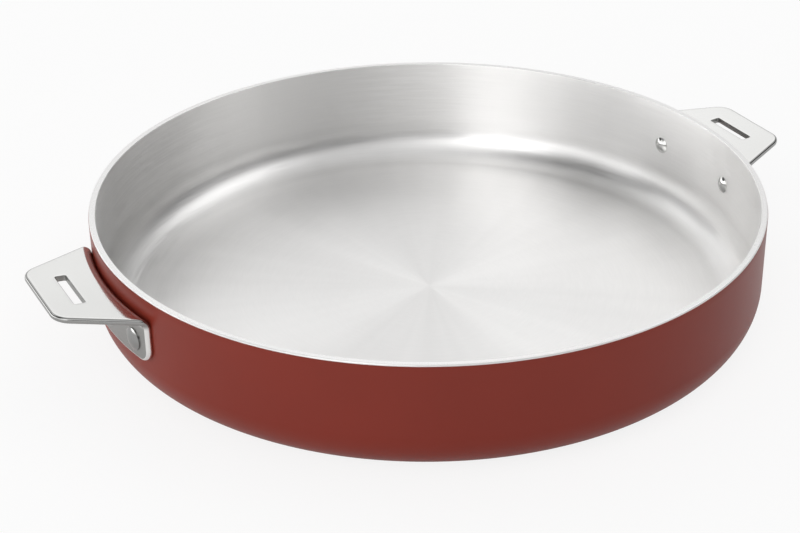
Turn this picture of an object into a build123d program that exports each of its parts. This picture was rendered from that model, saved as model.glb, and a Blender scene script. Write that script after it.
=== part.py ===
"""A wide, shallow two-handled pan: a clad metal bowl, a coloured outside coat,
two bent sheet handles and four rivets.

Millimetres. The origin is the centre of the flat base, +Z is up, and the
handles point along +X and -X.
"""
import os
from math import cos, radians, sin, tan

from build123d import *

# Bowl
wall_radius = 160.0
pan_height = 56.0
corner_radius = 20.0
shell_thickness = 0.5
core_thickness = 2.0
liner_thickness = 0.5
rim_edge_radius = 0.35
coat_thickness = 0.15
coat_top_gap = 0.8
coat_end_angle = 75.0

# Handles
handle_thickness = 2.8
handle_reach = 192.7
handle_tip_half_width = 23.4
handle_side_angle = 25.0
handle_corner_radius = 10.0
plate_drop = 8.05
plate_drop_radius = 166.0
plate_tilt = 4.9
bend_radius = 5.0
band_drop = 31.0
band_half_width = 39.0
shoulder_radius = 6.0
band_corner_radius = 6.5
handle_edge_radius = 1.2
slot_centre_reach = 178.1
slot_width = 5.0
slot_length = 27.6
slot_corner_radius = 0.8

# Rivets
rivet_angle = 10.0
rivet_drop = 22.2
shank_radius = 2.5
outer_head_radius = 5.4
outer_head_edge = 0.5
outer_head_rise = 1.9
inner_head_radius = 4.2
inner_head_edge = 0.4
inner_head_rise = 2.1

# Values worked out from the sizes above
corner_centre_radius = wall_radius - corner_radius
core_depth = shell_thickness
liner_depth = core_depth + core_thickness
wall_thickness = liner_depth + liner_thickness
inner_radius = wall_radius - wall_thickness
coat_radius = wall_radius + coat_thickness
band_radius = coat_radius + handle_thickness
rivet_height = pan_height - rivet_drop
band_bottom = pan_height - band_drop
handle_turns = {"right": 0.0, "left": 180.0}
rivet_turns = {
    "right_front": -rivet_angle,
    "right_back": rivet_angle,
    "left_front": 180.0 + rivet_angle,
    "left_back": 180.0 - rivet_angle,
}

# Room that a cutting shape takes beyond what it cuts
clearance = 10.0


def bowl_layer(depth, thickness):
    """One layer of the bowl, from this depth under the outside surface inwards."""
    far = depth + thickness
    with BuildPart() as layer:
        with BuildSketch(Plane.XZ):
            with BuildLine():
                Line((0, depth), (corner_centre_radius, depth))
                RadiusArc(
                    (corner_centre_radius, depth),
                    (wall_radius - depth, corner_radius),
                    -(corner_radius - depth),
                )
                Line((wall_radius - depth, corner_radius), (wall_radius - depth, pan_height))
                Line((wall_radius - depth, pan_height), (wall_radius - far, pan_height))
                Line((wall_radius - far, pan_height), (wall_radius - far, corner_radius))
                RadiusArc(
                    (wall_radius - far, corner_radius),
                    (corner_centre_radius, far),
                    corner_radius - far,
                )
                Line((corner_centre_radius, far), (0, far))
                Line((0, far), (0, depth))
            make_face()
        revolve(axis=Axis.Z)
        rivet_holes()
    return layer.part


def rivet_holes():
    """The four round holes for the rivets, cut through the part being built."""
    middle = (coat_radius + inner_radius) / 2
    length = 2 * clearance + handle_thickness
    for turn in rivet_turns.values():
        outwards = (cos(radians(turn)), sin(radians(turn)), 0)
        centre = (middle * outwards[0], middle * outwards[1], rivet_height)
        with Locations(Plane(origin=centre, z_dir=outwards)):
            Cylinder(shank_radius, length, mode=Mode.SUBTRACT)


# Stainless outer shell, which the pan stands on
with BuildPart() as outer_shell:
    add(bowl_layer(0, shell_thickness))
    fillet(
        outer_shell.edges().filter_by(GeomType.CIRCLE).group_by(Axis.Z)[-1].sort_by(SortBy.RADIUS)[-1],
        rim_edge_radius,
    )
outer_shell.part.label = "outer_shell"

# Aluminium core between the two stainless sheets
with BuildPart() as aluminium_core:
    add(bowl_layer(core_depth, core_thickness))
aluminium_core.part.label = "aluminium_core"

# Stainless cooking surface
with BuildPart() as inner_liner:
    add(bowl_layer(liner_depth, liner_thickness))
    fillet(
        inner_liner.edges().filter_by(GeomType.CIRCLE).group_by(Axis.Z)[-1].sort_by(SortBy.RADIUS)[0],
        rim_edge_radius,
    )
inner_liner.part.label = "inner_liner"

# Coloured coat on the outside of the wall and the rounded corner
coat_top = pan_height - coat_top_gap
end_sine = sin(radians(coat_end_angle))
end_cosine = cos(radians(coat_end_angle))


def corner_point(radius):
    """Where the coat ends on the rounded corner, at this radius from the corner's centre."""
    return (corner_centre_radius + radius * end_cosine, corner_radius - radius * end_sine)


with BuildPart() as red_coat:
    with BuildSketch(Plane.XZ):
        with BuildLine():
            Line(corner_point(corner_radius), corner_point(corner_radius + coat_thickness))
            RadiusArc(
                corner_point(corner_radius + coat_thickness),
                (coat_radius, corner_radius),
                -(corner_radius + coat_thickness),
            )
            Line((coat_radius, corner_radius), (coat_radius, coat_top))
            Line((coat_radius, coat_top), (wall_radius, coat_top))
            Line((wall_radius, coat_top), (wall_radius, corner_radius))
            RadiusArc((wall_radius, corner_radius), corner_point(corner_radius), corner_radius)
        make_face()
    revolve(axis=Axis.Z)
    rivet_holes()
red_coat.part.label = "red_coat"


# Handle: a plate that rises slightly outwards, bent down into a band that follows
# the wall. It is made pointing along +X and then turned into place.
tilt = radians(plate_tilt)
plate_top = pan_height - plate_drop
shoulder_reach = handle_reach - (band_half_width - handle_tip_half_width) / tan(radians(handle_side_angle))


def plate_height(reach):
    """Height of the plate's upper side at this distance from the pan's axis."""
    return plate_top + (reach - plate_drop_radius) * tan(tilt)


def sheet_side(radius, drop, fold_radius):
    """One side of the bent sheet in section: up the band, round the bend and out along the plate."""
    return FilletPolyline(
        (radius, band_bottom),
        (radius, plate_height(radius) - drop),
        (handle_reach + clearance, plate_height(handle_reach + clearance) - drop),
        radius=fold_radius,
    )


sheet_regions = ("plate", "bend", "band")
section_plane = Plane(origin=(0, 0, 0), x_dir=(-1, 0, 0), z_dir=(0, 1, 0))
plate_plane = Plane(
    origin=(slot_centre_reach, 0, plate_height(slot_centre_reach)),
    x_dir=(cos(tilt), 0, sin(tilt)),
    z_dir=(-sin(tilt), 0, cos(tilt)),
)

with BuildPart() as handle_model:
    with BuildSketch(section_plane):
        with BuildLine():
            upper = sheet_side(coat_radius, 0, bend_radius)
            lower = sheet_side(band_radius, handle_thickness / cos(tilt), bend_radius - handle_thickness)
            Line(upper @ 0, lower @ 0)
            Line(upper @ 1, lower @ 1)
        make_face()
    revolve(axis=Axis.Z)
    # Outline seen from above
    with BuildSketch(Plane.XY) as outline:
        with BuildLine():
            Polyline(
                (0, -band_half_width),
                (shoulder_reach, -band_half_width),
                (handle_reach, -handle_tip_half_width),
                (handle_reach, handle_tip_half_width),
                (shoulder_reach, band_half_width),
                (0, band_half_width),
                close=True,
            )
        make_face()
        fillet(outline.vertices().group_by(Axis.X)[-1], handle_corner_radius)
        fillet(outline.vertices().group_by(Axis.X)[1], shoulder_radius)
    extrude(amount=pan_height, mode=Mode.INTERSECT)
    # Outline seen from the handle's end
    with BuildSketch(Plane.YZ) as front:
        with Locations((0, band_bottom)):
            Rectangle(2 * band_half_width, pan_height, align=(Align.CENTER, Align.MIN))
        fillet(front.vertices().group_by(Axis.Z)[0], band_corner_radius)
    extrude(amount=handle_reach, mode=Mode.INTERSECT)
    # Round the cut edges on both sides of the sheet. The broad faces are the largest ones.
    sheet_faces = handle_model.faces().sort_by(SortBy.AREA)[-2 * len(sheet_regions) :]
    sheet_edges = [edge for face in sheet_faces for edge in face.edges()]
    outline_edges = [edge for edge in sheet_edges if sheet_edges.count(edge) == 1]
    fillet(outline_edges, handle_edge_radius)
    # Slot through the plate
    with BuildSketch(plate_plane):
        RectangleRounded(slot_width, slot_length, slot_corner_radius)
    extrude(amount=clearance, both=True, mode=Mode.SUBTRACT)
    rivet_holes()

handles = {}
for side, turn in handle_turns.items():
    with BuildPart() as handle:
        add(handle_model.part, rotation=(0, 0, turn))
    handle.part.label = "handle_" + side
    handles[side] = handle


# Rivet: a low domed head outside, a shank through handle and wall, and a small
# domed head inside. It is made along +X and then turned into place.
def rivet_head(face, radius, edge, rise):
    """A domed head on a face at this distance from the pan's axis. Its rise may point inwards."""
    inwards = -1 if rise < 0 else 1
    buried = face - inwards * wall_thickness / 2
    shoulder = face + edge
    top = face + rise
    dome_rise = abs(rise - edge)
    dome_radius = (radius**2 + dome_rise**2) / (2 * dome_rise)
    with BuildPart() as head:
        with BuildSketch(Plane.XZ):
            with BuildLine():
                Line((buried, rivet_height), (buried, rivet_height + radius))
                Line((buried, rivet_height + radius), (shoulder, rivet_height + radius))
                RadiusArc((shoulder, rivet_height + radius), (top, rivet_height), inwards * dome_radius)
                Line((top, rivet_height), (buried, rivet_height))
            make_face()
        revolve(axis=Axis((0, 0, rivet_height), (1, 0, 0)))
    return head.part


with BuildPart() as rivet_model:
    add(rivet_head(band_radius, outer_head_radius, outer_head_edge, outer_head_rise))
    add(rivet_head(inner_radius, inner_head_radius, -inner_head_edge, -inner_head_rise))
    with BuildSketch(Plane.XY):
        Circle(band_radius)
        Circle(inner_radius, mode=Mode.SUBTRACT)
    extrude(amount=pan_height, mode=Mode.SUBTRACT)
    with BuildSketch(Plane.YZ.offset(inner_radius - inner_head_edge)):
        with Locations((0, rivet_height)):
            Circle(shank_radius)
    extrude(amount=band_radius + outer_head_edge - inner_radius + inner_head_edge)

rivets = {}
for place, turn in rivet_turns.items():
    with BuildPart() as rivet:
        add(rivet_model.part, rotation=(0, 0, turn))
    rivet.part.label = "rivet_" + place
    rivets[place] = rivet

# One file for each piece
os.makedirs("parts", exist_ok=True)
pieces = [outer_shell, aluminium_core, inner_liner, red_coat, *handles.values(), *rivets.values()]
for piece in pieces:
    export_step(piece.part, "parts/" + piece.part.label + ".step")
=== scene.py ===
from collections import namedtuple
from math import cos, pi, radians, sin, tan

import bmesh
import bpy
import numpy as np
from bpy.props import FloatProperty, FloatVectorProperty, IntProperty, PointerProperty
from mathutils import Euler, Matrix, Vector
from mathutils.geometry import delaunay_2d_cdt


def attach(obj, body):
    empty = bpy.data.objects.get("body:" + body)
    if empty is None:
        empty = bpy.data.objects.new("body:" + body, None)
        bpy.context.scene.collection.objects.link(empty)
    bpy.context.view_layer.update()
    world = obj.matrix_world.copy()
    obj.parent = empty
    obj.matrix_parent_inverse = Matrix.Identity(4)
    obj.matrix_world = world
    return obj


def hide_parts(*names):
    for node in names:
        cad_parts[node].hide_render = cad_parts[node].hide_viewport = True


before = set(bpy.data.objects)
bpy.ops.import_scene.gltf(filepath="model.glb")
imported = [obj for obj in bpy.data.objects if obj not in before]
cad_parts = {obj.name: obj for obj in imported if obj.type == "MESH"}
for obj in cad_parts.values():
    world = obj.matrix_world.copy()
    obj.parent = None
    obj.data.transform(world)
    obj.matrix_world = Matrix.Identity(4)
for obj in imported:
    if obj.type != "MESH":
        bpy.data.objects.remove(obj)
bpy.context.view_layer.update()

bl_info = {
    "name": "Two-handled pan",
    "version": (1, 0, 0),
    "blender": (4, 5, 0),
    "location": "3D View > Sidebar > Pan",
    "description": "Builds a clad steel pan with a red outside and two riveted sheet handles",
    "category": "Object",
}

# Fineness of the turned pieces
corner_steps = 32
rim_steps = 6
coat_rim_steps = 4
dome_steps = 20
sharp_angle = radians(40)
weld_distance = 1e-6

# Fineness of the handles' sheets
outline_gap = 0.0008
corner_arc_steps = 12
slot_arc_steps = 6
band_rows_start = 0.0012
band_row_gap = 0.0014
bend_rows = 26
plate_rows_start = 0.0003
plate_row_gap = 0.0015
column_gap = 0.0013
border_margin = 0.0006
edge_steps = 7

# Highest level of the sky, which its colour ramp holds as 1
brightest = 2.0

# Panels of light, dark screens and cards round the pan. Each makes the sky's light stronger by its gain, or
# weaker where the gain is below 0. The angles are in degrees, the azimuth from behind the pan rightwards.
# The edge is the share of the half sizes over which a panel fades.
SoftPanel = namedtuple("SoftPanel", "azimuth height half_width half_height gain edge", defaults=[0.5])
stage_panels = {
    "wide panel at the front left": SoftPanel(235, 25, half_width=60, half_height=32, gain=1.2),
    "low panel on the left": SoftPanel(286, 16, half_width=25, half_height=19, gain=1.2),
    "high panel on the right": SoftPanel(72, 46, half_width=35, half_height=13, gain=1.0),
    "dark screen on the right": SoftPanel(105, 25, half_width=70, half_height=16, gain=-0.95),
    "dark screen over the left": SoftPanel(263, 51, half_width=35, half_height=24, gain=-0.94),
    "black card on the left": SoftPanel(288, 24, half_width=24, half_height=9, gain=-0.97, edge=0.25),
    "black card in front": SoftPanel(180, 20, half_width=12, half_height=11, gain=-0.9, edge=0.25),
}


# Sizes and finishes
def length(name, description, default):
    return FloatProperty(name=name, description=description, default=default, unit="LENGTH", precision=5)


def angle(name, description, degrees):
    return FloatProperty(name=name, description=description, default=radians(degrees), subtype="ANGLE")


def number(name, description, default):
    return FloatProperty(name=name, description=description, default=default)


def share(name, description, default):
    return FloatProperty(
        name=name, description=description, default=default, min=0.0, max=1.0, subtype="FACTOR"
    )


def colour(name, description, default):
    return FloatVectorProperty(
        name=name, description=description, default=(*default, 1.0), size=4, subtype="COLOR", min=0.0, max=1.0
    )


class PanBowlSizes(bpy.types.PropertyGroup):
    """Sizes of the bowl's three layers and of the coat outside them."""

    wall_radius: length("Wall radius", "Radius of the outside of the steel wall", 0.160)
    rim_height: length("Rim height", "Height of the rim above the base", 0.056)
    corner_radius: length("Corner radius", "Radius of the outside corner between base and wall", 0.020)
    shell_thickness: length("Shell thickness", "Steel sheet on the outside", 0.0005)
    core_thickness: length("Core thickness", "Aluminium between the two steel sheets", 0.002)
    liner_thickness: length("Liner thickness", "Steel sheet on the inside", 0.0005)
    rim_rounding: length("Rim rounding", "Radius of both edges of the flat rim", 0.00035)
    coat_thickness: length("Coat thickness", "Thickness of the red coat", 0.00015)
    coat_gap: length("Coat gap", "Bare steel between the rim and the coat", 0.0008)
    coat_end: angle("Coat end", "How far round the bottom corner the coat reaches", 75.0)
    straight_step: length("Straight step", "Distance between the rows of faces on straight runs", 0.004)
    steps_around: IntProperty(name="Steps around", description="Faces around the bowl", default=288, min=24)


class PanHandleSizes(bpy.types.PropertyGroup):
    """Sizes of the two bent sheet handles."""

    thickness: length("Thickness", "Thickness of the sheet", 0.0028)
    reach: length("Reach", "Distance from the pan's axis to the handle's outer edge", 0.1927)
    tip_half_width: length("Tip half width", "Half the width at the outer edge", 0.0234)
    side_angle: angle("Side angle", "How much each side spreads towards the wall", 25.0)
    tip_rounding: length("Tip rounding", "Radius of the two outer corners", 0.010)
    shoulder_rounding: length("Shoulder rounding", "Radius where the sides meet the band's ends", 0.006)
    plate_drop: length("Plate drop", "Depth of the plate's upper side below the rim", 0.00805)
    plate_drop_reach: length("Plate drop reach", "Distance from the axis where that depth is measured", 0.166)
    tilt: angle("Tilt", "How much the plate rises outwards", 4.9)
    bend_radius: length("Bend radius", "Outer radius of the bend beside the wall", 0.005)
    band_drop: length("Band drop", "Depth of the band's lower edge below the rim", 0.031)
    band_half_width: length("Band half width", "Half the width of the band on the wall", 0.039)
    band_rounding: length("Band rounding", "Radius of the band's lower corners", 0.0065)
    edge_rounding: length("Edge rounding", "Radius of the sheet's cut edges", 0.0012)
    slot_reach: length("Slot reach", "Distance from the axis to the middle of the slot", 0.1781)
    slot_width: length("Slot width", "Width of the slot", 0.005)
    slot_length: length("Slot length", "Length of the slot", 0.0276)
    slot_corner: length("Slot corner", "Radius of the slot's corners", 0.0008)
    slot_edge: length("Slot edge", "Radius of the slot's upper and lower edges", 0.0003)


class PanRivetSizes(bpy.types.PropertyGroup):
    """Sizes of the four rivets."""

    angle: angle("Angle", "Turn from the handle's middle to each rivet, about the pan's axis", 10.0)
    drop: length("Drop", "Depth of the rivets below the rim", 0.0222)
    shank_radius: length("Shank radius", "Radius of the shank", 0.0025)
    outer_radius: length("Outer radius", "Radius of the head outside", 0.0054)
    outer_edge: length("Outer edge", "Height of the outer head's edge", 0.0005)
    outer_rise: length("Outer rise", "Full height of the outer head", 0.0019)
    inner_radius: length("Inner radius", "Radius of the head inside the pan", 0.0042)
    inner_edge: length("Inner edge", "Height of the inner head's edge", 0.0004)
    inner_rise: length("Inner rise", "Full height of the inner head", 0.0021)
    sink: length("Sink", "How far both heads reach into the sheet under them", 0.0003)
    straight_step: length("Straight step", "Distance between the rows of faces on straight runs", 0.001)
    steps_around: IntProperty(name="Steps around", description="Faces around a rivet", default=64, min=12)


class PanFinishes(bpy.types.PropertyGroup):
    """Colours, roughness and fineness of the finishes."""

    red: colour("Red", "Colour of the coat", (0.208, 0.0255, 0.0145))
    steel: colour("Steel", "Colour of the brushed steel", (0.9, 0.894, 0.886))
    polished: colour("Polished steel", "Colour of the handles' plates", (0.86, 0.86, 0.845))
    # Darker than the steel really is: painted shade and dark reflection on the bands under the plates and in
    # the slots
    satin: colour("Satin steel", "Colour of the handles' bands and cut slots", (0.34, 0.34, 0.33))
    aluminium: colour("Aluminium", "Colour of the core", (0.89, 0.886, 0.88))
    coat_roughness: share("Coat roughness", "Roughness of the red coat", 0.34)
    core_roughness: share("Core roughness", "Roughness of the aluminium", 0.26)
    wall_roughness: share("Wall roughness", "Roughness of the brushed wall", 0.4)
    base_roughness: share("Base roughness", "Roughness of the flat base", 0.37)
    corner_roughness: share("Corner roughness", "Roughness of the rounded corner", 0.34)
    # Painted shade in the bowl's inside corner
    corner_shade: share("Corner shade", "How much darker the rounded corner is", 0.06)
    streak_tone: share("Streak tone", "How much lighter or darker the brush marks are", 0.04)
    streak_roughness: share("Streak roughness", "How much rougher or smoother the brush marks are", 0.1)
    ray_strength: number("Ray strength", "How strong the base's rays are beside the brush marks", 1.2)
    sway: share("Sway", "How far the brush marks lean along their run", 0.13)
    lines_per_metre: number("Lines per metre", "Fineness of the lines in the brushed steel", 2500.0)
    streaks_per_metre: number("Streaks per metre", "Fineness of the brush marks", 900.0)
    patches_per_metre: number("Patches per metre", "Fineness of the soft patches", 22.0)
    grains_per_metre: number("Grains per metre", "Fineness of the grain", 1980.0)
    plate_roughness: share("Plate roughness", "Roughness of the handles' plates", 0.11)
    band_roughness: share("Band roughness", "Roughness of the handles' bands on the wall", 0.36)
    edge_roughness: share("Edge roughness", "Roughness of the handles' rounded edges", 0.09)
    # Painted dark reflection along the plates' rounded edges
    edge_shade: share("Edge shade", "How much darker the plates' rounded edges are", 0.6)
    rivet_roughness: share("Rivet roughness", "Roughness of the rivets", 0.12)
    inner_head_tone: share("Inner head tone", "Tone of the rivets' inner heads beside the plates", 0.71)
    # Darkened tone: painted shade and dark reflection on the heads under the plates
    outer_head_shaded_tone: share("Outer head tone", "Tone of the rivets' outer heads beside the plates", 0.38)


class PanStage(bpy.types.PropertyGroup):
    """Camera, light and floor."""

    camera_place: FloatVectorProperty(
        name="Camera place",
        description="Where the camera stands",
        default=(-0.3617, -0.6803, 0.4333),
        subtype="TRANSLATION",
        unit="LENGTH",
    )
    camera_turn: FloatVectorProperty(
        name="Camera turn",
        description="How the camera is turned",
        default=(radians(61.43), 0.0, radians(-28.73)),
        subtype="EULER",
    )
    lens: number("Lens", "Focal length in millimetres", 80.8)
    sensor: number("Sensor", "Width of the camera's sensor in millimetres", 36.0)
    shift: number("Shift", "Sideways shift that frames the pan", -0.0618)
    floor: colour("Floor", "Colour of the floor", (0.98, 0.98, 0.98))
    floor_roughness: share("Floor roughness", "Roughness of the floor", 0.9)
    floor_white: share("Floor white", "How much of the floor is plain white, whatever shades it", 0.85)
    mirrored_white: share("Mirrored white", "The same for the floor as metal and coat mirror it", 0.2)
    floor_size: length("Floor size", "Distance from the floor's middle to its sides", 6.0)
    floor_gap: length("Floor gap", "Room between the floor and the pan's base", 0.0001)
    sky_heights: FloatVectorProperty(
        name="Sky heights",
        description="Heights above the horizon for which the light's level is given",
        default=tuple(radians(height) for height in (4, 16, 28, 42, 60, 82)),
        size=6,
        unit="ROTATION",
    )
    sky_levels: FloatVectorProperty(
        name="Sky levels",
        description="Level of the light at each of those heights",
        default=(1.0, 0.7, 0.95, 1.2, 0.65, 0.7),
        size=6,
    )


# Node trees
class Value:
    """An output of a node. Reckoning with it adds Math nodes to its tree."""

    def __init__(self, tree, socket):
        self.tree = tree
        self.socket = socket

    def __add__(self, other):
        return calculate(self.tree, "ADD", self, other)

    def __sub__(self, other):
        return calculate(self.tree, "SUBTRACT", self, other)

    def __rsub__(self, other):
        return calculate(self.tree, "SUBTRACT", other, self)

    def __mul__(self, other):
        return calculate(self.tree, "MULTIPLY", self, other)

    def __truediv__(self, other):
        return calculate(self.tree, "DIVIDE", self, other)


def feed(tree, node, inputs):
    """Gives each of a node's inputs a value, or links it to the output that it takes its value from."""
    for name, value in inputs.items():
        if isinstance(value, Value):
            tree.links.new(value.socket, node.inputs[name])
        else:
            node.inputs[name].default_value = value


def put(tree, kind, inputs=None, **settings):
    """Adds a node with these settings and inputs."""
    node = tree.nodes.new(kind)
    for name, value in settings.items():
        setattr(node, name, value)
    feed(tree, node, inputs or {})
    return node


def out(tree, kind, inputs=None, output=0, **settings):
    """One output of a new node, the first unless another is named."""
    return Value(tree, put(tree, kind, inputs, **settings).outputs[output])


def outs(tree, node):
    """A node's outputs by their names."""
    return {socket.name: Value(tree, socket) for socket in node.outputs}


def calculate(tree, operation, first, second=0.0):
    """The output of a Math node."""
    return out(tree, "ShaderNodeMath", {0: first, 1: second}, operation=operation)


def vector(tree, operation, inputs, output="Vector"):
    """An output of a Vector Math node."""
    return out(tree, "ShaderNodeVectorMath", inputs, output, operation=operation)


def parts_of(tree, place):
    """The X, Y and Z of a place."""
    return outs(tree, put(tree, "ShaderNodeSeparateXYZ", {0: place}))


def smooth_step(tree, value, low, high, start=0.0, end=1.0):
    """A number that goes smoothly from start to end while the value goes from low to high."""
    return out(
        tree,
        "ShaderNodeMapRange",
        {"Value": value, "From Min": low, "From Max": high, "To Min": start, "To Max": end},
        interpolation_type="SMOOTHSTEP",
    )


def start_tree(name, kind, inputs, outputs):
    """A node group with sockets of these kinds. Returns the tree, its inputs and its output node."""
    tree = bpy.data.node_groups.new(name, kind)
    for way, sockets in (("INPUT", inputs), ("OUTPUT", outputs)):
        for label, socket in sockets.items():
            tree.interface.new_socket(label, in_out=way, socket_type="NodeSocket" + socket)
    return tree, outs(tree, tree.nodes.new("NodeGroupInput")), tree.nodes.new("NodeGroupOutput")


def shared_tree(name, make):
    """A tree that is made once and used again."""
    return bpy.data.node_groups.get(name) or make()


# Turned pieces
fineness = {"Straight step": "Float", "Steps around": "Int"}
shape_output = {"Geometry": "Geometry"}


def section_point(tree, radius, height):
    """A point of a section, at this distance from the axis and this height."""
    return out(tree, "ShaderNodeCombineXYZ", {"X": radius, "Y": height})


def choose(tree, data_type, options):
    """A value for each point of a curve, in the order of the points."""
    chooser = put(tree, "GeometryNodeIndexSwitch", data_type=data_type)
    while len(chooser.index_switch_items) < len(options):
        chooser.index_switch_items.new()
    feed(tree, chooser, {"Index": out(tree, "GeometryNodeInputIndex")})
    feed(tree, chooser, {1 + place: option for place, option in enumerate(options)})
    return Value(tree, chooser.outputs[0])


def rounded_line(tree, points, radii, steps):
    """A line through the points of a section, with its corners rounded."""
    line = out(tree, "GeometryNodeCurvePrimitiveLine")
    line = out(tree, "GeometryNodeResampleCurve", {"Curve": line, "Count": len(points)}, mode="COUNT")
    places = choose(tree, "VECTOR", points)
    line = out(tree, "GeometryNodeSetPosition", {"Geometry": line, "Position": places})
    rounding = {"Radius": choose(tree, "FLOAT", radii), "Count": choose(tree, "INT", steps)}
    return out(tree, "GeometryNodeFilletCurve", {"Curve": line, **rounding}, mode="POLY")


def turning_tree():
    """Turns a section round the Z axis into a closed, smooth mesh."""
    inputs = {"Section": "Geometry", **fineness}
    tree, given, result = start_tree("Turn round the axis", "GeometryNodeTree", inputs, shape_output)
    place, index = out(tree, "GeometryNodeInputPosition"), out(tree, "GeometryNodeInputIndex")
    following = {"Value": place, "Index": index + 1.0}
    following = out(tree, "GeometryNodeFieldAtIndex", following, data_type="FLOAT_VECTOR", domain="POINT")
    gap = vector(tree, "DISTANCE", {0: place, 1: following}, "Value")
    cuts = calculate(tree, "FLOOR", gap / given["Straight step"])
    section = out(tree, "GeometryNodeSubdivideCurve", {"Curve": given["Section"], "Cuts": cuts})
    # The section is led round a small circle, whose radius comes off the section's own
    hub_radius = 0.001
    circle = {"Resolution": given["Steps around"], "Radius": hub_radius}
    circle = out(tree, "GeometryNodeCurvePrimitiveCircle", circle, mode="RADIUS")
    path = out(tree, "GeometryNodeSetCurveNormal", {"Curve": circle}, mode="Z_UP")
    parts = parts_of(tree, place)
    drawn = section_point(tree, parts["X"] - hub_radius, parts["Y"] * -1.0)
    profile = out(tree, "GeometryNodeSetPosition", {"Geometry": section, "Position": drawn})
    turned = out(tree, "GeometryNodeCurveToMesh", {"Curve": path, "Profile Curve": profile})
    joined = out(tree, "GeometryNodeMergeByDistance", {"Geometry": turned, "Distance": weld_distance})
    smooth = out(tree, "GeometryNodeSetShadeSmooth", {"Geometry": joined, "Shade Smooth": True})
    fold = {"A": out(tree, "GeometryNodeInputMeshEdgeAngle"), "B": sharp_angle}
    sharp = out(tree, "FunctionNodeCompare", fold, data_type="FLOAT", operation="GREATER_THAN")
    edges = {"Geometry": smooth, "Selection": sharp, "Shade Smooth": False}
    feed(tree, result, {"Geometry": out(tree, "GeometryNodeSetShadeSmooth", edges, domain="EDGE")})
    return tree


def turn(tree, section, given):
    """The section turned round the axis."""
    inputs = {"Section": section, **{label: given[label] for label in fineness}}
    turning = shared_tree("Turn round the axis", turning_tree)
    return out(tree, "GeometryNodeGroup", inputs, node_tree=turning)


def start_shape(name, *labels):
    """A tree for turned pieces. Its inputs are these numbers, its fineness and its material."""
    inputs = {**dict.fromkeys(labels, "Float"), **fineness, "Material": "Material"}
    return start_tree(name, "GeometryNodeTree", inputs, shape_output)


def end_shape(tree, given, result, geometry):
    """Ends a tree with real faces and their material."""
    realized = out(tree, "GeometryNodeRealizeInstances", {"Geometry": geometry})
    finished = {"Geometry": realized, "Material": given["Material"]}
    feed(tree, result, {"Geometry": out(tree, "GeometryNodeSetMaterial", finished)})
    return tree


def bowl_tree():
    """One layer of the bowl: flat base, rounded corner, upright wall and rim."""
    labels = ("Wall radius", "Corner radius", "Base height", "Rim height", "Thickness")
    tree, given, result = start_shape("Bowl layer", *labels, "Outer rounding", "Inner rounding")
    radius, corner, base, rim, thickness = (given[label] for label in labels)
    inner_radius = radius - thickness
    inner_base = base + thickness
    points = [
        section_point(tree, 0.0, inner_base),
        section_point(tree, inner_radius, inner_base),
        section_point(tree, inner_radius, rim),
        section_point(tree, radius, rim),
        section_point(tree, radius, base),
        section_point(tree, 0.0, base),
    ]
    radii = [0.0, corner - thickness, given["Inner rounding"], given["Outer rounding"], corner, 0.0]
    section = rounded_line(tree, points, radii, [1, corner_steps, rim_steps, rim_steps, corner_steps, 1])
    return end_shape(tree, given, result, turn(tree, section, given))


def coat_tree():
    """The coat on the wall and round the bottom corner, up to just under the rim."""
    labels = ("Wall radius", "Corner radius", "Top height", "Coat thickness", "Coat end")
    tree, given, result = start_shape("Coat", *labels)
    radius, inner_arc, top, thickness, turned_by = (given[label] for label in labels)
    outer_radius = radius + thickness
    outer_arc = inner_arc + thickness
    centre = radius - inner_arc
    cosine, sine = calculate(tree, "COSINE", turned_by), calculate(tree, "SINE", turned_by)
    half = calculate(tree, "TANGENT", turned_by * 0.5)

    def end(arc):
        """Where the coat ends, on an arc of this radius round the corner's centre."""
        return section_point(tree, centre + arc * cosine, inner_arc - arc * sine)

    def corner(wall, arc):
        """The point on the wall's line that is rounded off to that arc."""
        return section_point(tree, wall, inner_arc - arc * half)

    points = [
        end(inner_arc),
        corner(radius, inner_arc),
        section_point(tree, radius, top),
        section_point(tree, outer_radius, top),
        corner(outer_radius, outer_arc),
        end(outer_arc),
        end(inner_arc),
    ]
    radii = [0.0, inner_arc, 0.0, thickness * 0.5, outer_arc, 0.0, 0.0]
    section = rounded_line(tree, points, radii, [1, corner_steps, 1, coat_rim_steps, corner_steps, 1, 1])
    return end_shape(tree, given, result, turn(tree, section, given))


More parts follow.
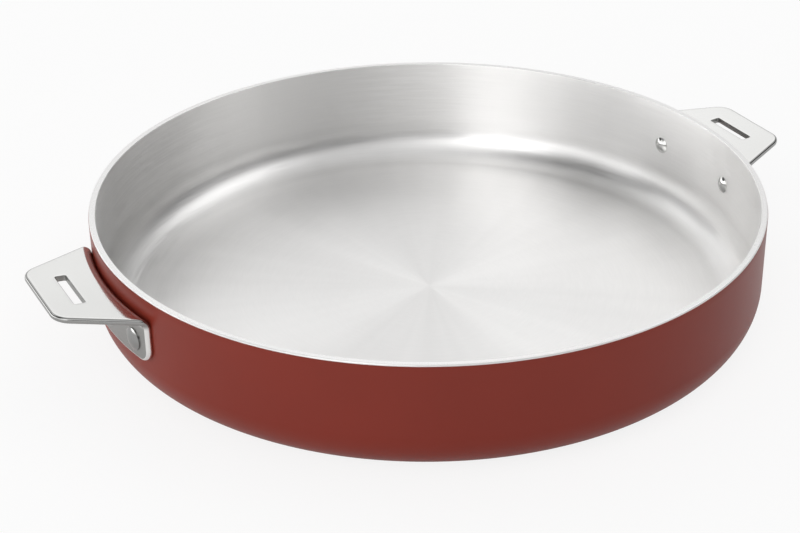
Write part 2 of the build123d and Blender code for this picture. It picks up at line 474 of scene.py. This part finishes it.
def rivet_tree():
    """Four rivets, two at each handle, each with a domed head outside and inside."""
    heads = [side + part for side in ("Outer ", "Inner ") for part in ("face", "radius", "edge", "rise")]
    tree, given, result = start_shape("Rivets", "Angle", "Height", "Shank radius", "Sink", *heads)

    def head(side, way):
        """The dome of a head, from its edge to the middle of its top, and its corners down to the shank."""
        face, radius = given[side + " face"], given[side + " radius"]
        edge = face + given[side + " edge"] * way
        sink = face - given["Sink"] * way
        top = face + given[side + " rise"] * way
        dome = {
            "Resolution": dome_steps,
            "Start": section_point(tree, radius, edge),
            "Middle": section_point(tree, radius * 0.5, top),
            "End": section_point(tree, 0.0, top),
        }
        corners = ((radius, edge), (radius, sink), (given["Shank radius"], sink))
        corners = [section_point(tree, *corner) for corner in corners]
        return out(tree, "GeometryNodeCurveQuadraticBezier", dome), corners

    outer, outer_corners = head("Outer", 1.0)
    inner, inner_corners = head("Inner", -1.0)
    corners = outer_corners + inner_corners[::-1]
    middle = rounded_line(tree, corners, [0.0] * len(corners), [1] * len(corners))
    outer = out(tree, "GeometryNodeReverseCurve", {"Curve": outer})
    section = put(tree, "GeometryNodeJoinGeometry")
    for curve in (outer, middle, inner):
        feed(tree, section, {0: curve})
    # The section turns about Z, so each rivet is tipped over to lie along X
    lying = {
        "Geometry": turn(tree, Value(tree, section.outputs[0]), given),
        "Rotation": (0.0, pi / 2, 0.0),
        "Translation": out(tree, "ShaderNodeCombineXYZ", {"Z": given["Height"]}),
    }
    index = out(tree, "GeometryNodeInputIndex")
    handle = calculate(tree, "FLOOR", index * 0.5)
    side = calculate(tree, "MODULO", index, 2.0) * 2.0 - 1.0
    placed = {
        "Points": out(tree, "GeometryNodePoints", {"Count": 4}),
        "Instance": out(tree, "GeometryNodeTransform", lying),
        "Rotation": out(tree, "ShaderNodeCombineXYZ", {"Z": handle * pi + side * given["Angle"]}),
    }
    return end_shape(tree, given, result, out(tree, "GeometryNodeInstanceOnPoints", placed))


def values_of(settings):
    """The values of a group of settings, by the settings' names."""
    return {setting.name: getattr(settings, label) for label, setting in settings.bl_rna.properties.items()}


def run_tree(name, tree, values):
    """A plain mesh object made by a tree. Each input of the tree takes the value of its own name."""
    piece = bpy.data.objects.new(name, bpy.data.meshes.new(name + "_start"))
    bpy.context.scene.collection.objects.link(piece)
    modifier = piece.modifiers.new("Shape", "NODES")
    modifier.node_group = tree
    for item in tree.interface.items_tree:
        if item.in_out == "INPUT":
            modifier[item.identifier] = values[item.name]
    graph = bpy.context.evaluated_depsgraph_get()
    mesh = bpy.data.meshes.new_from_object(piece.evaluated_get(graph), depsgraph=graph)
    piece.modifiers.remove(modifier)
    piece.data = mesh
    mesh.name = name
    return piece


def stand_in(piece, slot, *nodes):
    """Makes a finished piece ride on the pan in the place of these CAD nodes."""
    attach(piece, "root")
    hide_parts(*nodes)


# Materials
def round_brushing_group():
    """Marks that run round the pan's axis, over base, corner and wall alike, and faint rays on the base."""
    sizes = dict.fromkeys(("Lines per metre", "Streaks per metre", "Base radius", "Corner height"), "Float")
    masks = dict.fromkeys(("Lines", "Streaks", "Rays", "Corner", "Wall"), "Float")
    tree, given, result = start_tree(
        "Round brushing", "ShaderNodeTree", {"Place": "Vector", **sizes}, {**masks, "Sway": "Vector"}
    )
    parts = parts_of(tree, given["Place"])
    flat = out(tree, "ShaderNodeCombineXYZ", {"X": parts["X"], "Y": parts["Y"]})
    radius = vector(tree, "LENGTH", {0: flat}, "Value")
    around = parts_of(tree, vector(tree, "NORMALIZE", {0: flat}))
    outwards = radius + parts["Z"]

    def stretched(density, shortness, detail):
        """Noise that is fine across the marks and long along them."""
        place = {"X": around["X"] * shortness, "Y": around["Y"] * shortness, "Z": outwards * density}
        place = out(tree, "ShaderNodeCombineXYZ", place)
        noise = {"Vector": place, "Scale": 1.0, "Detail": detail, "Roughness": 0.6}
        return out(tree, "ShaderNodeTexNoise", noise, noise_dimensions="3D")

    # Base, corner and wall blend into each other near the base's radius and the corner's height
    off_base = smooth_step(tree, radius, given["Base radius"] * 0.97, given["Base radius"] * 1.02)
    wall = smooth_step(tree, parts["Z"], given["Corner height"] * 0.85, given["Corner height"] * 1.25)
    streaks = stretched(given["Streaks per metre"], shortness=7.0, detail=3.0)
    # Each streak leans a little along the marks, which breaks up reflections there
    run = out(tree, "ShaderNodeCombineXYZ", {"X": around["Y"] * -1.0, "Y": around["X"]})
    marks = {
        "Lines": stretched(given["Lines per metre"], shortness=6.0, detail=1.0),
        "Streaks": streaks,
        "Rays": stretched(density=4.0, shortness=4.0, detail=2.0),
        "Corner": off_base * (1.0 - wall),
        "Wall": wall,
        "Sway": vector(tree, "SCALE", {0: run, "Scale": (streaks - 0.5) * off_base}),
    }
    feed(tree, result, marks)
    return tree


def soft_patches_group():
    """Broad, faint patches such as handling leaves on clean metal or paint, and a fine grain."""
    inputs = {"Place": "Vector", "Patches per metre": "Float", "Grains per metre": "Float"}
    outputs = {"Patches": "Float", "Grain": "Float"}
    tree, given, result = start_tree("Soft patches", "ShaderNodeTree", inputs, outputs)
    place = given["Place"]
    broad = {"Vector": place, "Scale": given["Patches per metre"], "Detail": 3.0, "Roughness": 0.5}
    fine = {"Vector": place, "Scale": given["Grains per metre"], "Detail": 2.0}
    spread = {"Value": out(tree, "ShaderNodeTexNoise", broad), "From Min": 0.3, "From Max": 0.7}
    patches = out(tree, "ShaderNodeMapRange", spread)
    feed(tree, result, {"Patches": patches, "Grain": out(tree, "ShaderNodeTexNoise", fine)})
    return tree


def start_material(name):
    """A new material and its tree."""
    material = bpy.data.materials.new(name)
    material.use_nodes = True
    return material, material.node_tree


def shade(tree, base_colour, roughness, metallic=1.0, others=None):
    """Gives the material's shader this colour and roughness, and its other inputs."""
    inputs = {"Base Color": base_colour, "Roughness": roughness, "Metallic": metallic, **(others or {})}
    feed(tree, tree.nodes["Principled BSDF"], inputs)


def object_place(tree):
    """The place on the object."""
    return out(tree, "ShaderNodeTexCoord", output="Object")


def use_group(tree, name, make, inputs):
    """The outputs of a shared shader group that is given these inputs and the place on the object."""
    inputs = {"Place": object_place(tree), **inputs}
    return outs(tree, put(tree, "ShaderNodeGroup", inputs, node_tree=shared_tree(name, make)))


def soft_patches(tree, finish):
    """The soft patches and the grain on the object."""
    sizes = {"Patches per metre": finish.patches_per_metre, "Grains per metre": finish.grains_per_metre}
    return use_group(tree, "Soft patches", soft_patches_group, sizes)


def around_value(tree, factor, middle, spread):
    """A number that goes from below to above the middle one, by the factor."""
    ends = {"Value": factor, "To Min": middle - spread, "To Max": middle + spread}
    return out(tree, "ShaderNodeMapRange", ends)


def bump(tree, height, strength, distance):
    """The normal of a fine relief."""
    return out(tree, "ShaderNodeBump", {"Height": height, "Strength": strength, "Distance": distance})


def blend(tree, factor, first, second):
    """A colour between two, by the factor, and beyond them where the factor is."""
    ends = {"Factor": factor, "A": first, "B": second}
    return out(tree, "ShaderNodeMix", ends, "Result", data_type="RGBA", clamp_factor=False)


def tone(plain, amount):
    """The same colour, lighter or darker."""
    return (*(min(1.0, part * amount) for part in plain[:3]), 1.0)


def toned(tree, factor, plain, low, high):
    """A colour that goes from a low to a high tone of the plain one, by the factor."""
    return blend(tree, factor, tone(plain, low), tone(plain, high))


def brushed_steel(finish, bowl):
    """Steel with fine lines round the pan: turned on the base, brushed on the wall, smoother between."""
    material, tree = start_material("Brushed steel")
    sizes = {
        "Lines per metre": finish.lines_per_metre,
        "Streaks per metre": finish.streaks_per_metre,
        "Base radius": bowl.wall_radius - bowl.corner_radius,
        "Corner height": bowl.corner_radius,
    }
    marks = use_group(tree, "Round brushing", round_brushing_group, sizes)
    streaks, corner, wall = marks["Streaks"], marks["Corner"], marks["Wall"]
    rays = around_value(tree, marks["Rays"], middle=0.0, spread=finish.ray_strength / 2)
    # The rounded corner is darkened a little: painted shade
    tint = streaks + rays - corner * (finish.corner_shade / (2 * finish.streak_tone))
    rough = around_value(tree, streaks, finish.base_roughness, finish.streak_roughness)
    rough += around_value(tree, soft_patches(tree, finish)["Patches"], middle=0.0, spread=0.02)
    rough -= corner * (finish.base_roughness - finish.corner_roughness)
    rough -= wall * (finish.base_roughness - finish.wall_roughness)
    relief = bump(tree, marks["Lines"] + streaks, strength=0.25, distance=0.00003)
    sway = vector(tree, "SCALE", {0: marks["Sway"], "Scale": finish.sway})
    leaning = vector(tree, "ADD", {0: relief, 1: sway})
    others = {
        "Anisotropic": 0.75,
        "Anisotropic Rotation": 0.25,
        "Tangent": out(tree, "ShaderNodeTangent", direction_type="RADIAL", axis="Z"),
        "Normal": vector(tree, "NORMALIZE", {0: leaning}),
    }
    base_colour = toned(tree, tint, finish.steel, 1 - finish.streak_tone, 1 + finish.streak_tone)
    shade(tree, base_colour, rough, others=others)
    return material


def core_metal(finish):
    """Satin aluminium, of which only a thin line shows at the rim."""
    material, tree = start_material("Satin aluminium")
    patches = soft_patches(tree, finish)
    base_colour = toned(tree, patches["Grain"], finish.aluminium, low=0.96, high=1.03)
    shade(tree, base_colour, around_value(tree, patches["Patches"], finish.core_roughness, spread=0.04))
    return material


def handle_steel(finish, band_top):
    """Steel with a soft shine on the plates and rougher on the bands and in the slots, whose colour is
    darkened there as painted shade and dark reflection. The plates' rounded edges are polished and darkened
    as a painted dark reflection.
    """
    material, tree = start_material("Handle steel")
    patches = soft_patches(tree, finish)
    rounding = out(tree, "ShaderNodeAttribute", output="Fac", attribute_name="rounding")
    cut = out(tree, "ShaderNodeAttribute", output="Fac", attribute_name="cut")
    height = parts_of(tree, object_place(tree))["Z"]
    # The band, rougher than the plate and darkened as painted shade, goes over into the shiny plate near the
    # start of the bend
    on_band = smooth_step(tree, height, band_top - 0.001, band_top + 0.002, start=1.0, end=0.0)
    # Bands and slot faces are rougher, and their colour is darkened as painted shade and dark reflection
    dull_and_shaded = calculate(tree, "MAXIMUM", on_band * (1.0 - rounding), cut)
    plate = toned(tree, patches["Patches"], finish.polished, low=0.98, high=1.02)
    # The plates' rounded edges are darkened: a painted dark reflection
    edge = tone(finish.polished, 1 - finish.edge_shade)
    edged = blend(tree, rounding * (1.0 - on_band), plate, edge)
    rough = around_value(tree, patches["Grain"], finish.plate_roughness, spread=0.03)
    rough += dull_and_shaded * (finish.band_roughness - finish.plate_roughness)
    rough -= rounding * (finish.plate_roughness - finish.edge_roughness)
    normal = bump(tree, patches["Grain"], strength=0.08, distance=0.00002)
    # Bands and slots take the darker colour, a painted shade
    shade(tree, blend(tree, dull_and_shaded, edged, finish.satin), rough, others={"Normal": normal})
    return material


def rivet_steel(finish, wall_radius):
    """Polished steel with hardly any grain, darkened on the heads outside the wall as painted shade and dark
    reflection.
    """
    material, tree = start_material("Rivet steel")
    grain = soft_patches(tree, finish)["Grain"]
    flat = vector(tree, "MULTIPLY", {0: object_place(tree), 1: (1.0, 1.0, 0.0)})
    outside = calculate(tree, "GREATER_THAN", vector(tree, "LENGTH", {0: flat}, "Value"), wall_radius)
    middle, spread = finish.inner_head_tone, 0.03
    inner = toned(tree, grain, finish.polished, middle - spread, middle + spread)
    # Heads outside the wall take a darker tone, a painted shade and dark reflection
    base_colour = blend(tree, outside, inner, tone(finish.polished, finish.outer_head_shaded_tone))
    shade(tree, base_colour, around_value(tree, grain, finish.rivet_roughness, spread=0.02))
    return material


def red_coating(finish):
    """The semi-gloss red coat, a little uneven and with a very fine grain."""
    material, tree = start_material("Red coat")
    patches = soft_patches(tree, finish)
    base_colour = toned(tree, patches["Patches"], finish.red, low=0.97, high=1.03)
    rough = around_value(tree, patches["Grain"], finish.coat_roughness, spread=0.03)
    normal = bump(tree, patches["Grain"], strength=0.1, distance=0.00003)
    shade(tree, base_colour, rough, metallic=0.0, others={"Specular IOR Level": 0.25, "Normal": normal})
    return material


# Handle sheet
def rounded_corners(points, radii, steps=corner_arc_steps):
    """A line through the points with an arc of its own radius at each corner between the ends."""
    line = [np.array(points[0], float)]
    for before, corner, after, radius in zip(points, points[1:], points[2:], radii):
        before, corner, after = (np.array(p, float) for p in (before, corner, after))
        back = (before - corner) / np.linalg.norm(before - corner)
        on = (after - corner) / np.linalg.norm(after - corner)
        half = np.arccos(np.clip(back @ on, -1, 1)) / 2
        middle = (back + on) / np.linalg.norm(back + on)
        centre = corner + middle * radius / np.sin(half)
        start = corner + back * radius / np.tan(half)
        end = corner + on * radius / np.tan(half)
        first = np.arctan2(*(start - centre)[::-1])
        sweep = (np.arctan2(*(end - centre)[::-1]) - first + pi) % (2 * pi) - pi
        for turned_by in np.linspace(0, sweep, steps):
            line.append(centre + radius * np.array([cos(first + turned_by), sin(first + turned_by)]))
    line.append(np.array(points[-1], float))
    return np.array(line)


def filled_in(line):
    """The same line with more points, none further apart than the outline's gap."""
    made = []
    for start, end in zip(line, line[1:]):
        count = max(1, int(np.ceil(np.linalg.norm(end - start) / outline_gap)))
        made.extend(start + (end - start) * k / count for k in range(count))
    return np.array(made + [line[-1]])


def both_halves(half):
    """A closed line from its half on one side, whose first and last points lie on the middle line."""
    return np.vstack([half, (half * (1, -1))[::-1][1:-1]])


def shifted(ring, distance):
    """A closed line moved to its left by this distance."""
    along = np.roll(ring, -1, 0) - np.roll(ring, 1, 0)
    along /= np.linalg.norm(along, axis=1)[:, None]
    return ring + distance * np.c_[-along[:, 1], along[:, 0]]


def runs_left(ring):
    """Whether a closed line has its inside on its left."""
    after = np.roll(ring, -1, 0)
    return (ring[:, 0] * after[:, 1] - after[:, 0] * ring[:, 1]).sum() > 0


def inside(ring, points):
    """Which points lie inside a closed line."""
    found = np.zeros(len(points), bool)
    for start, end in zip(ring, np.roll(ring, -1, 0)):
        crosses = (start[1] > points[:, 1]) != (end[1] > points[:, 1])
        rise = end[1] - start[1] if end[1] != start[1] else 1.0
        reach = start[0] + (end[0] - start[0]) * (points[:, 1] - start[1]) / rise
        found ^= crosses & (points[:, 0] < reach)
    return found


def on_sheet(rings, points):
    """Which points lie inside the outer ring and outside the holes that follow it."""
    found = inside(rings[0], points)
    for hole in rings[1:]:
        found &= ~inside(hole, points)
    return found


class BentSheet:
    """A handle's sheet, laid flat and bent. Its run goes up the band, round the bend and along the plate."""

    def __init__(self, size, bowl):
        self.size = size
        self.wall = bowl.wall_radius + bowl.coat_thickness
        self.bottom = bowl.rim_height - size.band_drop
        self.fold = pi / 2 - size.tilt
        rise = (self.wall - size.plate_drop_reach) * tan(size.tilt)
        corner_height = bowl.rim_height - size.plate_drop + rise
        self.bend_start = corner_height - size.bend_radius * tan(self.fold / 2) - self.bottom
        self.bend_end = self.bend_start + size.bend_radius * self.fold
        self.bend_reach = self.wall + size.bend_radius * (1 - cos(self.fold))

    def run_at(self, places):
        """The run at places given by x and y, from the bend outwards."""
        reach = np.hypot(places[:, 0], places[:, 1])
        turned = np.arccos(np.clip(1 - (reach - self.wall) / self.size.bend_radius, cos(self.fold), 1))
        beyond = np.maximum(reach - self.bend_reach, 0) / cos(self.size.tilt)
        return self.bend_start + self.size.bend_radius * turned + beyond

    def place(self, run, side, depth):
        """Points in space for a run, a distance to the side and a depth under the sheet's upper side."""
        turned = np.clip((run - self.bend_start) / self.size.bend_radius, 0, self.fold)
        beyond = np.maximum(run - self.bend_end, 0)
        reach = self.wall + self.size.bend_radius * (1 - np.cos(turned)) + beyond * cos(self.size.tilt)
        height = self.bottom + np.minimum(run, self.bend_start) + self.size.bend_radius * np.sin(turned)
        height = height + beyond * sin(self.size.tilt) - depth * np.sin(turned)
        reach = reach + depth * np.cos(turned)
        return np.c_[np.sqrt(reach**2 - side**2), side, height]

    def outline(self):
        """The sheet's outline as run and side, and the slot's."""
        size = self.size
        wide, narrow, edge, tilt = size.band_half_width, size.tip_half_width, size.edge_rounding, size.tilt
        # The tip's rounded edge reaches further out than the upper side of the tilted sheet, by the lean
        lean = (size.thickness - edge) * sin(tilt) + edge * (1 - cos(tilt))
        tip = size.reach - lean
        shoulder = size.reach - (wide - narrow) / tan(size.side_angle)
        wall = np.sqrt(self.wall**2 - wide**2)
        plan = [(tip, 0), (tip, narrow), (shoulder, wide), (wall, wide)]
        plan = filled_in(rounded_corners(plan, [size.tip_rounding, size.shoulder_rounding]))
        band = rounded_corners([(self.bend_start, wide), (0, wide), (0, 0)], [size.band_rounding])
        ring = both_halves(np.vstack([np.c_[self.run_at(plan), plan[:, 1]], filled_in(band)[1:]]))
        near, far = size.slot_reach - size.slot_width / 2, size.slot_reach + size.slot_width / 2
        end = size.slot_length / 2
        slot = [(near, 0), (near, end), (far, end), (far, 0)]
        slot = both_halves(filled_in(rounded_corners(slot, [size.slot_corner] * 2, slot_arc_steps)))
        return ring, np.c_[self.run_at(slot), slot[:, 1]]

    def flat_triangles(self, rings):
        """Triangles between an outer ring and the holes in it, with even rows of points inside."""
        half_width = self.size.band_half_width
        rows = np.concatenate(
            [
                np.arange(band_rows_start, self.bend_start, band_row_gap),
                np.linspace(self.bend_start, self.bend_end, bend_rows),
                np.arange(self.bend_end + plate_rows_start, rings[0][:, 0].max(), plate_row_gap),
            ]
        )
        columns = np.arange(-half_width, half_width, column_gap)
        grid = np.array([(row, column) for row in rows for column in columns])
        grid = grid[on_sheet(rings, grid)]
        border = np.vstack(rings)
        gaps = np.sqrt(((grid[:, None, :] - border[None, :, :]) ** 2).sum(2)).min(1)
        grid = grid[gaps > border_margin]
        edges = []
        for ring in rings:
            start = len(edges)
            edges.extend((start + k, start + (k + 1) % len(ring)) for k in range(len(ring)))
        points = [Vector(point) for point in (*border, *grid)]
        made = delaunay_2d_cdt(points, edges, [], 0, 1e-9)
        places = np.array([tuple(point) for point in made[0]])
        faces = np.array([tuple(face) for face in made[2]])
        kept = on_sheet(rings, places[faces].mean(1))
        return places, [tuple(int(k) for k in face) for face in faces[kept]]


def handle_mesh(name, sheet, turned_by):
    """A closed mesh of one handle, turned about the pan's axis, with its edges and its slot marked."""
    size = sheet.size
    ring, slot = sheet.outline()
    into_sheet = 1 if runs_left(ring) else -1
    off_slot = -1 if runs_left(slot) else 1
    borders = ((ring, into_sheet, size.edge_rounding), (slot, off_slot, size.slot_edge))
    points, faces = sheet.flat_triangles([shifted(line, way * edge) for line, way, edge in borders])
    build = bmesh.new()
    marks = [build.verts.layers.float.new(label) for label in ("rounding", "cut")]

    def add_points(flat, depth, mark=None):
        """Adds the points of the flat sheet at this depth, marked where a mark is given."""
        made = [build.verts.new(p) for p in sheet.place(flat[:, 0], flat[:, 1], np.full(len(flat), depth))]
        if mark:
            for vertex in made:
                vertex[mark] = 1.0
        return made

    for depth in (0.0, size.thickness):
        corners = add_points(points, depth)
        for face in faces:
            build.faces.new([corners[k] for k in face])
    for (line, way, edge), mark in zip(borders, marks):
        rings = []
        for k in range(edge_steps + 1):
            lean = pi / 2 * k / edge_steps
            flat = shifted(line, way * edge * (1 - sin(lean)))
            rings.append((flat, edge * (1 - cos(lean)), mark if k else None))
        rings += [(flat, size.thickness - depth, mark) for flat, depth, mark in rings[::-1]]
        loops = [add_points(*values) for values in rings]
        for first, second in zip(loops, loops[1:]):
            for k in range(len(first)):
                after = (k + 1) % len(first)
                build.faces.new((first[k], first[after], second[after], second[k]))
    bmesh.ops.remove_doubles(build, verts=build.verts, dist=weld_distance)
    bmesh.ops.recalc_face_normals(build, faces=build.faces)
    bmesh.ops.rotate(build, verts=build.verts, cent=(0, 0, 0), matrix=Euler((0, 0, turned_by)).to_matrix())
    for face in build.faces:
        face.smooth = True
    mesh = bpy.data.meshes.new(name)
    build.to_mesh(mesh)
    build.free()
    return mesh


# Operators
class PAN_OT_bowl_layers(bpy.types.Operator):
    """Makes the steel shell, the aluminium core and the steel liner"""

    bl_idname = "pan.bowl_layers"
    bl_label = "Bowl layers"

    def execute(self, context):
        size, finish = context.scene.pan_bowl, context.scene.pan_finishes
        rounding = size.rim_rounding
        steel, core = brushed_steel(finish, size), core_metal(finish)
        layers = [
            ("outer_steel", "outer_shell", "stainless", size.shell_thickness, rounding, 0.0, steel),
            ("aluminium", "aluminium_core", "aluminium", size.core_thickness, 0.0, 0.0, core),
            ("inner_steel", "inner_liner", "stainless", size.liner_thickness, 0.0, rounding, steel),
        ]
        depth = 0.0
        for name, node, slot, thickness, outer_rounding, inner_rounding, material in layers:
            values = {
                **values_of(size),
                "Wall radius": size.wall_radius - depth,
                "Corner radius": size.corner_radius - depth,
                "Base height": depth,
                "Thickness": thickness,
                "Outer rounding": outer_rounding,
                "Inner rounding": inner_rounding,
                "Material": material,
            }
            stand_in(run_tree(name, shared_tree("Bowl layer", bowl_tree), values), slot, node)
            depth += thickness
        return {"FINISHED"}


class PAN_OT_coat(bpy.types.Operator):
    """Makes the red coat on the outside"""

    bl_idname = "pan.coat"
    bl_label = "Red coat"

    def execute(self, context):
        size = context.scene.pan_bowl
        values = {
            **values_of(size),
            "Top height": size.rim_height - size.coat_gap,
            "Material": red_coating(context.scene.pan_finishes),
        }
        stand_in(run_tree("coat", shared_tree("Coat", coat_tree), values), "red", "red_coat")
        return {"FINISHED"}


class PAN_OT_handles(bpy.types.Operator):
    """Makes the two bent sheet handles"""

    bl_idname = "pan.handles"
    bl_label = "Handles"

    def execute(self, context):
        scene = context.scene
        sheet = BentSheet(scene.pan_handle, scene.pan_bowl)
        material = handle_steel(scene.pan_finishes, sheet.bottom + sheet.bend_start)
        for side, turned_by in (("right", 0.0), ("left", pi)):
            mesh = handle_mesh(side + "_handle", sheet, turned_by)
            mesh.materials.append(material)
            piece = bpy.data.objects.new(side + "_handle", mesh)
            scene.collection.objects.link(piece)
            stand_in(piece, "polished", "handle_" + side)
        return {"FINISHED"}


class PAN_OT_rivets(bpy.types.Operator):
    """Makes the four rivets"""

    bl_idname = "pan.rivets"
    bl_label = "Rivets"

    def execute(self, context):
        bowl, size, handle = context.scene.pan_bowl, context.scene.pan_rivet, context.scene.pan_handle
        wall = bowl.shell_thickness + bowl.core_thickness + bowl.liner_thickness
        values = {
            **values_of(size),
            "Height": bowl.rim_height - size.drop,
            "Outer face": bowl.wall_radius + bowl.coat_thickness + handle.thickness,
            "Inner face": bowl.wall_radius - wall,
            "Material": rivet_steel(context.scene.pan_finishes, bowl.wall_radius),
        }
        nodes = [f"rivet_{side}_{end}" for side in ("right", "left") for end in ("front", "back")]
        stand_in(run_tree("rivets", shared_tree("Rivets", rivet_tree), values), "polished", *nodes)
        return {"FINISHED"}


class PAN_OT_stage(bpy.types.Operator):
    """Makes the camera, the floor and the light all round"""

    bl_idname = "pan.stage"
    bl_label = "Stage"

    def execute(self, context):
        scene, stage = context.scene, context.scene.pan_stage
        self.make_camera(scene, stage)
        self.make_floor(scene, stage)
        self.make_world(scene, stage)
        scene.view_settings.view_transform = "Standard"
        return {"FINISHED"}

    def make_camera(self, scene, stage):
        """A camera that sees the pan as the photo does."""
        lens = bpy.data.cameras.new("camera")
        lens.lens = stage.lens
        lens.sensor_width = stage.sensor
        lens.shift_x = stage.shift
        camera = bpy.data.objects.new("camera", lens)
        camera.location = stage.camera_place
        camera.rotation_euler = stage.camera_turn
        scene.collection.objects.link(camera)
        scene.camera = camera

    def make_floor(self, scene, stage):
        """A wide pale floor that looks white where nothing shades it."""
        mesh = bpy.data.meshes.new("floor")
        build = bmesh.new()
        bmesh.ops.create_grid(build, x_segments=1, y_segments=1, size=stage.floor_size)
        build.to_mesh(mesh)
        build.free()
        material, tree = start_material("Pale floor")
        shade(tree, stage.floor, stage.floor_roughness, metallic=0.0)
        pale = Value(tree, tree.nodes["Principled BSDF"].outputs[0])
        white = out(tree, "ShaderNodeEmission", {"Color": (1.0, 1.0, 1.0, 1.0), "Strength": 1.0})
        rays = outs(tree, put(tree, "ShaderNodeLightPath"))
        mirrored = calculate(tree, "MAXIMUM", rays["Is Glossy Ray"], rays["Is Transmission Ray"])
        seen = rays["Is Camera Ray"] * stage.floor_white
        share_white = calculate(tree, "MAXIMUM", seen, mirrored * stage.mirrored_white)
        mix = out(tree, "ShaderNodeMixShader", {0: share_white, 1: pale, 2: white})
        feed(tree, tree.nodes["Material Output"], {"Surface": mix})
        mesh.materials.append(material)
        floor = bpy.data.objects.new("floor", mesh)
        floor.location.z = -stage.floor_gap
        scene.collection.objects.link(floor)

    def make_world(self, scene, stage):
        """Soft light from all round: a sky whose level changes with the height, and the panels in it."""
        world = bpy.data.worlds.new("Studio")
        world.use_nodes = True
        tree = world.node_tree
        direction = out(tree, "ShaderNodeTexCoord", output="Generated")
        turned_by = stage.camera_turn[2]

        def along(axis):
            """How far the direction of a ray reaches along this axis."""
            return vector(tree, "DOT_PRODUCT", {0: direction, 1: axis}, "Value")

        rightwards = along((cos(turned_by), sin(turned_by), 0.0))
        behind = along((-sin(turned_by), cos(turned_by), 0.0))
        azimuth = calculate(tree, "ARCTAN2", rightwards, behind)
        height = calculate(tree, "ARCSINE", along((0.0, 0.0, 1.0)))
        light = self.sky_level(tree, stage, height) * brightest
        for panel in stage_panels.values():
            centre, middle, half_width, half_height = (radians(degrees) for degrees in panel[:4])
            aside = calculate(tree, "PINGPONG", azimuth - centre, pi) / half_width
            above = calculate(tree, "ABSOLUTE", height - middle) / half_height
            covered = self.inside_panel(tree, aside, panel) * self.inside_panel(tree, above, panel)
            light *= covered * panel.gain + 1.0
        feed(tree, tree.nodes["Background"], {"Color": (1.0, 1.0, 1.0, 1.0), "Strength": light})
        scene.world = world

    def sky_level(self, tree, stage, height):
        """The sky's level at this height above the horizon, as a share of the brightest."""
        sky = put(tree, "ShaderNodeValToRGB", {"Fac": height / (pi / 2)})
        stops = sky.color_ramp.elements
        while len(stops) < len(stage.sky_heights):
            stops.new(0.5)
        for stop, at, level in zip(stops, stage.sky_heights, stage.sky_levels):
            stop.position = at / (pi / 2)
            stop.color = (*[level / brightest] * 3, 1.0)
        return Value(tree, sky.outputs["Color"])

    def inside_panel(self, tree, distance, panel):
        """One inside a panel, falling off to nothing across its edge, where the distance is 1."""
        return smooth_step(tree, distance, 1.0 - panel.edge, 1.0 + panel.edge, start=1.0, end=0.0)


class PAN_PT_parts(bpy.types.Panel):
    """Lists the steps that build the pan"""

    bl_idname = "PAN_PT_parts"
    bl_label = "Pan"
    bl_space_type = "VIEW_3D"
    bl_region_type = "UI"
    bl_category = "Pan"

    def draw(self, context):
        for step in steps:
            self.layout.operator(step.bl_idname)


groups = {
    "pan_bowl": PanBowlSizes,
    "pan_handle": PanHandleSizes,
    "pan_rivet": PanRivetSizes,
    "pan_finishes": PanFinishes,
    "pan_stage": PanStage,
}
steps = (PAN_OT_bowl_layers, PAN_OT_coat, PAN_OT_handles, PAN_OT_rivets, PAN_OT_stage)


def register():
    for part in (*groups.values(), *steps, PAN_PT_parts):
        bpy.utils.register_class(part)
    for name, group in groups.items():
        setattr(bpy.types.Scene, name, PointerProperty(type=group))


def unregister():
    for name in groups:
        delattr(bpy.types.Scene, name)
    for part in (PAN_PT_parts, *steps[::-1], *list(groups.values())[::-1]):
        bpy.utils.unregister_class(part)


def main():
    register()
    bpy.ops.pan.bowl_layers()
    bpy.ops.pan.coat()
    bpy.ops.pan.handles()
    bpy.ops.pan.rivets()
    bpy.ops.pan.stage()


if __name__ == "__main__":
    main()
